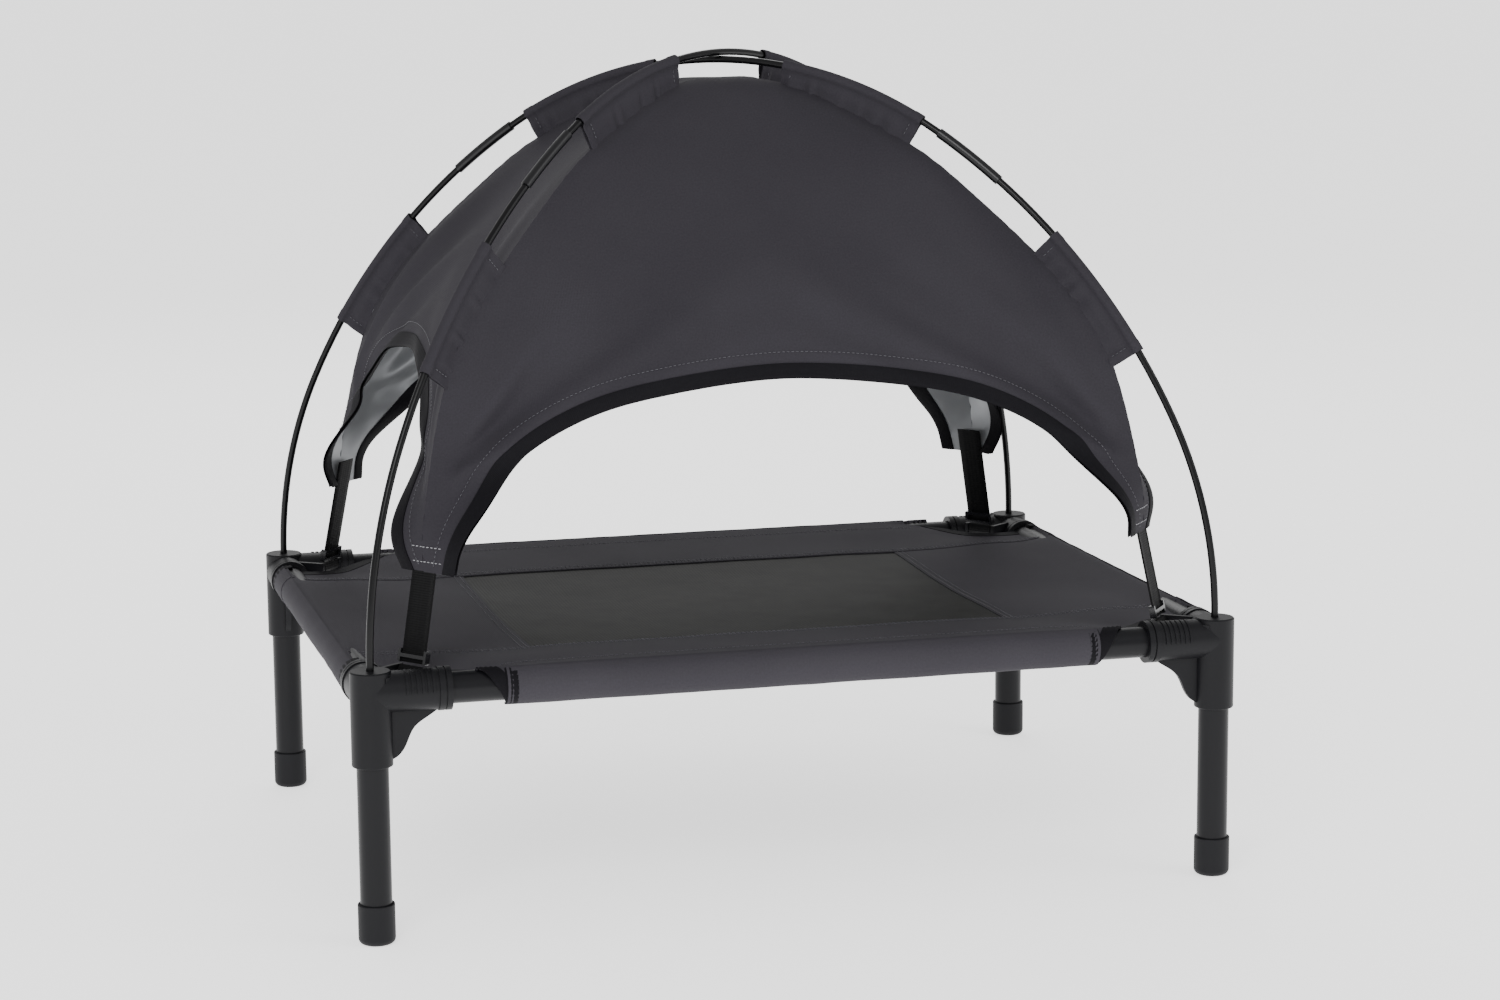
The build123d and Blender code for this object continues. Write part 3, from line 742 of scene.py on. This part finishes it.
# %% Panel surface with folds
class Panel:
    """One side of the canopy: its directions, its arch and its folds."""

    def __init__(self, name, outward, depth_share, width_share, arch_height, arch_shape, tongue, seed):
        self.name = name
        self.outward = Vector(outward)
        self.sideways = self.outward.cross(Vector((0, 0, 1)))
        self.depth_share = depth_share
        self.width_share = width_share
        self.tongue = tongue
        self.lengths = [0.0]
        for (reach, height), (next_reach, next_height) in zip(seam_line, seam_line[1:]):
            step = hypot((next_reach - reach) * depth_share, next_height - height)
            self.lengths.append(self.lengths[-1] + step)
        self.arch = self.arch_line(arch_height, arch_shape, tongue)
        self.arch_top = min(along for across, along in self.arch)
        self.folds = self.fold_lines(random.Random(seed))

    def seam_at(self, along):
        """Reach and height of the seam at a distance down from the crown."""
        along = min(max(along, 0), self.lengths[-1])
        index = min(bisect_right(self.lengths, along), len(self.lengths) - 1)
        start, end = self.lengths[index - 1], self.lengths[index]
        share = (along - start) / (end - start)
        low, high = seam_line[index - 1], seam_line[index]
        return tuple(first + (second - first) * share for first, second in zip(low, high))

    def down_to(self, height):
        """The distance down from the crown to a height."""
        for index, (reach, seam_height) in enumerate(seam_line):
            if seam_height <= height:
                above = seam_line[index - 1][1]
                share = (above - height) / (above - seam_height) if above > seam_height else 1
                return self.lengths[index - 1] + (self.lengths[index] - self.lengths[index - 1]) * share
        return self.lengths[-1]

    def half_width(self, along):
        """From the panel's middle line to its seam."""
        return self.seam_at(along)[0] * self.width_share

    def arch_line(self, arch_height, arch_shape, tongue):
        """The arch's edge in flat coordinates, from one tongue to the other."""
        tip_across = tip_reach * self.width_share
        half = [(tip_across - tongue, tip_height)]
        for side_share, rise_share in arch_shape:
            height = tip_height + rise_share * (arch_height - tip_height)
            half.append((side_share * tip_across, height))
        whole = half + [(-across, height) for across, height in reversed(half[:-1])]
        return [(across, self.down_to(height)) for across, height in smooth_through(whole, 14)]

    def fold_lines(self, rng):
        """Soft folds, each from one flat point to another, with its half width and height."""
        half_tip = tip_reach * self.width_share
        down = self.lengths[-1]
        folds = []
        for side in (-1, 1):
            for reach_share, above, width, height in (
                (0.10, 14, 8, 3.6), (0.18, 40, 11, -3.8), (0.05, 66, 13, 4.2), (0.30, 100, 14, -3.6),
                (0.45, 140, 15, 3.0), (0.62, 60, 7, 2.4), (0.72, 20, 6, -2.4),
            ):
                jitter = rng.uniform(-0.08, 0.08)
                folds.append((
                    (side * half_tip * (0.93 + 0.3 * jitter), down - (52 + 200 * abs(jitter)) * mm),
                    (side * half_tip * (reach_share + jitter), self.arch_top - (above + 90 * jitter) * mm),
                    width * mm, height * mm * rng.uniform(0.8, 1.2),
                ))
        return folds

    def fold_height(self, across, along):
        """How far the folds lift the cloth at a flat point."""
        lift = 0.0
        for start, end, width, height in self.folds:
            run = (end[0] - start[0], end[1] - start[1])
            length = hypot(*run)
            offset = (across - start[0], along - start[1])
            share = (offset[0] * run[0] + offset[1] * run[1]) / length ** 2
            if -0.15 < share < 1.25:
                away = (offset[0] * run[1] - offset[1] * run[0]) / length
                wide = width * (0.55 + 0.9 * max(share, 0))
                fade = eased((share + 0.15) / 0.4) * eased((1.25 - share) / 0.6)
                lift += height * fade * exp(-(away / wide) ** 2)
        return lift

    def bare_point(self, across, along):
        """A flat point on the plain bend, pressed flat near a tongue's end."""
        reach, height = self.seam_at(along)
        side = copysign(1, across)
        half = reach * self.width_share
        seam = self.outward * (reach * self.depth_share) + self.sideways * (side * half)
        inward = self.sideways * -side
        corner = self.outward * self.depth_share + self.sideways * (side * self.width_share)
        pressed = (inward - corner * inward.dot(corner)).normalized()
        press = eased((tip_height + 75 * mm - height) / (65 * mm))
        lay = inward.lerp(pressed, press).normalized()
        point = seam + lay * (half - abs(across))
        return Vector((point.x, point.y, height))

    def slope(self, across, along):
        """Outward direction of the plain bend."""
        small = 0.5 * mm
        side = self.bare_point(across + small, along) - self.bare_point(across - small, along)
        low = min(along + small, self.lengths[-1])
        down = self.bare_point(across, low) - self.bare_point(across, low - 2 * small)
        out = side.cross(down).normalized()
        return out if out.dot(self.outward) > 0 else -out

    def point(self, across, along, lift=0.0):
        """A flat point on the hanging cloth, lifted off its outer face."""
        half = max(self.half_width(along), 1 * mm)
        share = min(abs(across) / half, 1)
        near_seam = eased((half - abs(across)) / (22 * mm))
        sink = -5 * mm * (1 - share ** 2) * eased(along / (120 * mm))
        grain = noise.noise(Vector((across * 16, along * 16, 7 + self.depth_share))) * 0.7 * mm
        seam_gather = 0.28 * mm * sin(along / (2.1 * mm)) * eased(1 - (half - abs(across)) / (9 * mm))
        crown_fade = eased(along / (60 * mm))
        moved = (sink + grain + self.fold_height(across, along)) * near_seam + seam_gather * crown_fade
        spot = self.bare_point(across, along)
        return spot + self.slope(across, along) * (moved + lift)


front_arch = [(0.885, 0.30), (0.78, 0.585), (0.60, 0.80), (0.37, 0.925), (0, 1)]
side_arch = [(0.885, 0.20), (0.80, 0.46), (0.66, 0.73), (0.38, 0.93), (0, 1)]
front_arch_height = crown_height - 183 * mm
side_arch_height = crown_height - 174 * mm
long_tongue = 17 * mm
short_tongue = 9.5 * mm
panels = [
    Panel("front", (0, -1, 0), toward_y, toward_x, front_arch_height, front_arch, long_tongue, 11),
    Panel("back", (0, 1, 0), toward_y, toward_x, front_arch_height, front_arch, long_tongue, 23),
    Panel("left", (-1, 0, 0), toward_x, toward_y, side_arch_height, side_arch, short_tongue, 31),
    Panel("right", (1, 0, 0), toward_x, toward_y, side_arch_height, side_arch, short_tongue, 47),
]
print("panels reach", [round(panel.lengths[-1], 4) for panel in panels], "m down from the crown")

# %% [markdown]
# ## Canopy panels
# Each column of the grid runs from the crown to one point of the arch, and keeps its share of the
# panel's width on the way down, so the cloth's threads fan out as the panel widens. A few more
# columns on each side end at the tongue's cut. The outer face is dyed cloth, and the inner face
# takes the silver coating.

# %% Panels
def panel_columns(panel):
    """(share of the width, distance down) of each column's lower end."""
    ends = [(across / panel.half_width(along), along) for across, along in panel.arch]
    first = ends[0][0]
    edge = [(first + (1 - first) * share, panel.lengths[-1]) for share in (1, 0.75, 0.5, 0.25)]
    return edge + ends + [(-share, along) for share, along in reversed(edge)]


def canopy_panel(panel):
    """One coated panel."""
    bm = bmesh.new()

    def hang(column, share):
        width_share, bottom = column
        along = bottom * share
        across = width_share * panel.half_width(along)
        return panel.point(across, along), (across, along)

    laid_grid(bm, panel_columns(panel), evenly(0, 1, 96), hang)
    bmesh.ops.remove_doubles(bm, verts=bm.verts, dist=0.02 * mm)
    facing(bm, lambda point: Vector((point.x, point.y, point.z - 200 * mm)))
    name = f"canopy_{panel.name}_panel"
    cloth = finished(bm, name + "_cloth", [canopy_cloth, coating], "canopy", 0.8 * mm, True)
    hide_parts(name)


for panel in panels:
    canopy_panel(panel)

# %% [markdown]
# ## Arch bindings
# Each arch is bound with tape. A real binding is folded over the raw edge, with the cloth inside it.
# Here the tape's section is a narrow C that starts 1 mm up the cloth and reaches 10 mm past its
# edge, so it hangs from the arch and doesn't wrap it.

# %% Arch tapes
tape_section = [(-10, 0.75), (-9.7, 0.95), (-7, 0.95), (-4, 0.95), (-1, 0.95), (0.6, 0.6), (0.9, -0.2),
                (0.6, -1.3), (-1, -1.65), (-4, -1.65), (-7, -1.65), (-9.7, -1.65), (-10, -1.45)]


def arch_tape(panel):
    """The tape round one arch."""
    arch = panel.arch[::-1]
    bm = bmesh.new()

    def fold(station, part):
        run = heading(arch, station)
        inside, lift = part
        across = arch[station][0] + run.y * inside * mm
        along = min(arch[station][1] - run.x * inside * mm, panel.lengths[-1])
        limit = panel.half_width(along)
        across = min(max(across, -limit), limit)
        return panel.point(across, along, lift * mm), (inside * mm, station * 3 * mm)

    laid_grid(bm, list(range(len(arch))), tape_section, fold)
    facing(bm, lambda point: Vector((point.x, point.y, point.z - 200 * mm)))
    tape = finished(bm, f"canopy_{panel.name}_arch_tape", [binding_tape], "canopy", 0.4 * mm)
    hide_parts(f"canopy_{panel.name}_binding")


for panel in panels:
    arch_tape(panel)
print("arches bound")

# %% [markdown]
# ## Pole sleeves
# A sleeve is a band of the same cloth, folded over the pole and sewn into the corner seam. Its
# section goes up one side, round the pole and down the other. The two layers lie close together
# below the pole, and the seam gathers them, so the band puckers more the nearer it is to the seam.

# %% Sleeve bands
def seam_depth(bend, turn):
    """How far inside a bend the corner seam hangs, where the pole has turned this far."""
    centre, radius = bend
    closest = min(seam_line, key=lambda at: abs(atan2(at[1] - centre[1], at[0] - centre[0]) - turn))
    return radius - hypot(closest[0] - centre[0], closest[1] - centre[1])


def arm_point(signs, reach, height, aside=0.0):
    """A point near a pole: its reach from the middle, its height, and the distance beside the pole."""
    out = Vector((signs[0] * toward_x, signs[1] * toward_y, 0))
    beside = Vector((-signs[1] * toward_y, signs[0] * toward_x, 0))
    return out * reach + Vector((0, 0, height)) + beside * aside


def sleeve_section(depth):
    """Half widths and depths inside the pole's line, from one seam edge round to the other."""
    round_pole = pole_radius + 1.3 * mm
    section = [(0.95 * mm, depth + 1.2 * mm - share * (depth - 5 * mm)) for share in evenly(0, 1, 7)]
    around = evenly(radians(38), radians(180), 9)
    section += [(round_pole * sin(turn), round_pole * cos(turn)) for turn in around]
    return section + [(-aside, inside) for aside, inside in reversed(section[:-1])]


# Each sleeve's bend of the pole, and how far the pole has turned at its two ends, in degrees.
sleeve_stretches = {"upper": (2, (80.5, 59.4)), "lower": (1, (43.9, 32.0))}


def pole_sleeve(corner, level, seed):
    """One sleeve, from the higher end of its stretch of pole to the lower."""
    signs = corners[corner]
    bend_index, ends = sleeve_stretches[level]
    bend = pole_bends(corner_peaks[corner])[bend_index]
    centre, radius = bend
    turns = evenly(radians(ends[0]), radians(ends[1]), 84)
    bm = bmesh.new()

    def drape(turn, part):
        depth = seam_depth(bend, turn)
        aside, inside = sleeve_section(depth)[part]
        from_end = min(abs(turn - turns[0]), abs(turn - turns[-1])) * radius
        hem = 0.35 * mm * eased((8 * mm - from_end) / (1 * mm))
        along = radius * (turns[0] - turn)
        low = eased((inside - 2 * mm) / max(depth - 2 * mm, 1 * mm))
        wander = noise.noise(Vector((along * 70, seed, 0.5)))
        gather = low * 1.1 * mm * sin(along / (2.6 * mm) + 4 * wander) * (0.55 + wander)
        belly = 0.9 * mm * sin(pi * low) * (1 + 0.6 * noise.noise(Vector((along * 40, inside * 60, seed))))
        out = aside + copysign(hem + belly, aside if abs(aside) > 0.1 * mm else 1) * (inside > 0)
        reach, height = on_circle(centre, radius - inside + hem * (inside < 0), turn)
        return arm_point(signs, reach, height, out + gather), (inside + aside, along)

    laid_grid(bm, turns, list(range(len(sleeve_section(20 * mm)))), drape)
    pole_line = [arm_point(signs, *on_circle(centre, radius, turn)) for turn in turns]
    facing(bm, lambda point: point - min(pole_line, key=lambda at: (at - point).length))
    name = f"{level}_sleeve_{corner}"
    band = finished(bm, name + "_cloth", [canopy_cloth], "canopy", 0.8 * mm)
    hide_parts(name)


for index, corner in enumerate(corners):
    pole_sleeve(corner, "upper", index)
    pole_sleeve(corner, "lower", index + 10)
print("sleeves made")

# %% [markdown]
# ## Straps
# A strap of webbing is sewn inside each tongue, goes down through its slider, turns round the
# connector's bar and comes back up behind the slider. The part that stays with the canopy and the
# turn that stays on the frame are two pieces, so that the canopy can be lifted off.

# %% Webbing
strap_width = 20 * mm
strap_thickness = 1.2 * mm
slider_to_bar = 10.5 * mm
strap_past_slider = 4.1 * mm
sewn_in_tongue = 22 * mm
slider_low, slider_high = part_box("strap_slider_back_right")
slider_middle = [(low + high) / 2 for low, high in zip(slider_low, slider_high)]
slider_spot = (slider_middle[0] * toward_x + slider_middle[1] * toward_y, slider_middle[2])
strap_head = (tip_reach - strap_thickness / 2, tip_height)
strap_run = Vector((strap_head[0] - slider_spot[0], strap_head[1] - slider_spot[1]))
strap_dir = strap_run.normalized()
strap_out = Vector((strap_dir.y, -strap_dir.x))
bar_spot = (slider_spot[0] - strap_dir.x * slider_to_bar, slider_spot[1] - strap_dir.y * slider_to_bar)
turn_radius = 2 * mm + 0.15 * mm + strap_thickness


def ribbon(name, corner, line, body):
    """Webbing along a line of (reach, height) points, in the plane of its corner."""
    signs = corners[corner]
    bm = bmesh.new()
    lengths = [0.0]
    for start, end in zip(line, line[1:]):
        lengths.append(lengths[-1] + hypot(end[0] - start[0], end[1] - start[1]))

    def lay(station, share):
        run = heading(line, station)
        edge = 0.25 * mm * (abs(share) > 0.97)
        reach = line[station][0] - run.y * edge * turn_side
        height = line[station][1] + run.x * edge * turn_side
        spot = arm_point(signs, reach, height, share * strap_width / 2)
        return spot, (share * strap_width / 2, lengths[station])

    turn_side = 1 if line[0][1] > line[-1][1] else -1
    laid_grid(bm, list(range(len(line))), [-1, -0.96, -0.5, 0, 0.5, 0.96, 1], lay)
    middle = sum((arm_point(signs, *point) for point in line), Vector()) / len(line)
    if body == "canopy":
        facing(bm, lambda point: Vector((signs[0] * toward_x, signs[1] * toward_y, 0)))
    else:
        facing(bm, lambda point: point - middle)
    strip = finished(bm, name + "_webbing", [webbing], body, strap_thickness)
    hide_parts(name)


outer_face = strap_out * (strap_thickness / 2)
strap_low = (slider_spot[0] - strap_dir.x * strap_past_slider,
             slider_spot[1] - strap_dir.y * strap_past_slider)
strap_line = []
for share in evenly(0, 1, 30):
    along = share * (strap_run.length + sewn_in_tongue)
    strap_line.append((strap_low[0] + strap_dir.x * along + outer_face.x,
                       strap_low[1] + strap_dir.y * along + outer_face.y))
start_turn = atan2(strap_out.y, strap_out.x)
loop_line = [(bar_spot[0] + turn_radius * cos(start_turn - turn),
              bar_spot[1] + turn_radius * sin(start_turn - turn)) for turn in evenly(0, pi, 20)]
rise = strap_dir * 4.4 * mm
pinch = strap_out * (strap_thickness + 0.1 * mm)
loop_line = [(bar_spot[0] + rise.x + pinch.x, bar_spot[1] + rise.y + pinch.y)] + loop_line
loop_line.append((bar_spot[0] + rise.x - pinch.x, bar_spot[1] + rise.y - pinch.y))
for corner in corners:
    ribbon(f"strap_{corner}", corner, strap_line, "canopy")
    ribbon(f"strap_turn_{corner}", corner, loop_line, "frame")
print("strap length", strap_run.length)

# %% [markdown]
# ## Canopy stitching
# Two light rows cross each tongue's end, where the strap is held. Dark rows run along the arches,
# 8.4 mm up the cloth, and along the sleeves' hems.

# %% Stitch lines on the canopy
def panel_row(panel, flat_points, lift=0.15 * mm):
    """Flat points of a panel as (point, outward) pairs."""
    return [(panel.point(across, along, lift), panel.slope(across, along)) for across, along in flat_points]


arch_row = 8.4 * mm
light = bmesh.new()
dark = bmesh.new()
for panel in panels:
    half_tip = tip_reach * panel.width_share
    for side in (-1, 1):
        for above in (7 * mm, 17 * mm):
            along = panel.lengths[-1] - above
            half = panel.half_width(along)
            row = [(side * across, along) for across in evenly(half - panel.tongue, half, 8)]
            stitch_row(light, panel_row(panel, row), pitch=3.4 * mm, length=2.5 * mm, width=0.7 * mm)
    row = []
    arch = panel.arch[::-1]
    for station, here in list(enumerate(arch))[1:-1]:
        run = heading(arch, station)
        normal = Vector((run.y, -run.x)) if run.x > 0 else Vector((-run.y, run.x))
        spot = (here[0] + normal.x * arch_row, here[1] + normal.y * arch_row)
        if abs(spot[0]) < panel.half_width(spot[1]) and spot[1] < panel.lengths[-1]:
            row.append(spot)
    stitch_row(dark, panel_row(panel, row, 1.0 * mm), width=0.45 * mm)
for corner, signs in corners.items():
    for bend_index, ends in sleeve_stretches.values():
        centre, radius = pole_bends(corner_peaks[corner])[bend_index]
        for side in (-1, 1):
            out = Vector((-signs[1] * toward_y, signs[0] * toward_x, 0)) * side
            for end, step in ((ends[0], -1), (ends[1], 1)):
                turn = radians(end) + step * 6.5 * mm / radius
                depth = seam_depth((centre, radius), turn)
                row = [(arm_point(signs, *on_circle(centre, radius - inside, turn), side * 2.4 * mm), out)
                       for inside in evenly(5 * mm, depth - 3 * mm, 8)]
                stitch_row(dark, row, width=0.5 * mm)
sewn(light, "tongue_stitching", light_thread, "canopy")
sewn(dark, "canopy_stitching", dark_thread, "canopy")
print("canopy stitched")

# %% [markdown]
# ## Floor and light
# The bed stands on a plain pale floor that runs far back. A bright even sky gives the soft studio
# light, with one large soft light above on the left and a weaker one on the right, which put a
# highlight down each tube.

# %% Studio
def studio_floor():
    """A wide pale floor."""
    bm = bmesh.new()
    bmesh.ops.create_grid(bm, x_segments=1, y_segments=1, size=30)
    mesh = bpy.data.meshes.new("floor")
    bm.to_mesh(mesh)
    bm.free()
    floor = bpy.data.objects.new("floor", mesh)
    bpy.context.scene.collection.objects.link(floor)
    material, tree, shader = start_material(
        "studio_floor_paint", "#F4F4F4", Roughness=0.9, Emission_Strength=1.3
    )
    shader.inputs["Emission Color"].default_value = colour("#FFFFFF")
    place = add_node(tree, "ShaderNodeTexCoord").outputs["Object"]
    mottle = add_node(tree, "ShaderNodeTexNoise", {"Scale": 3, "Detail": 2}, {"Vector": place})
    patterned(tree, shader, mottle.outputs["Fac"], "#F2F2F2", "#F6F6F6")
    mesh.materials.append(material)


def soft_light(name, place, aim, size, power):
    """A large square lamp that looks at a point."""
    data = bpy.data.lights.new(name, "AREA")
    data.size = size
    data.energy = power
    lamp = bpy.data.objects.new(name, data)
    lamp.location = place
    lamp.rotation_euler = (Vector(place) - Vector(aim)).to_track_quat("Z", "Y").to_euler()
    bpy.context.scene.collection.objects.link(lamp)


studio_floor()
soft_light("key_light", (-1.4, -2.6, 1.9), (0, 0, 0.3), 1.4, 50)
soft_light("fill_light", (2.2, -1.6, 1.6), (0, 0, 0.3), 1.4, 16)
soft_light("rim_light", (0.4, 2.4, 2.0), (0, 0, 0.4), 1.6, 20)
world = bpy.data.worlds.new("studio")
world.use_nodes = True
world.node_tree.nodes["Background"].inputs["Color"].default_value = (1, 1, 1, 1)
world.node_tree.nodes["Background"].inputs["Strength"].default_value = 0.7
bpy.context.scene.world = world
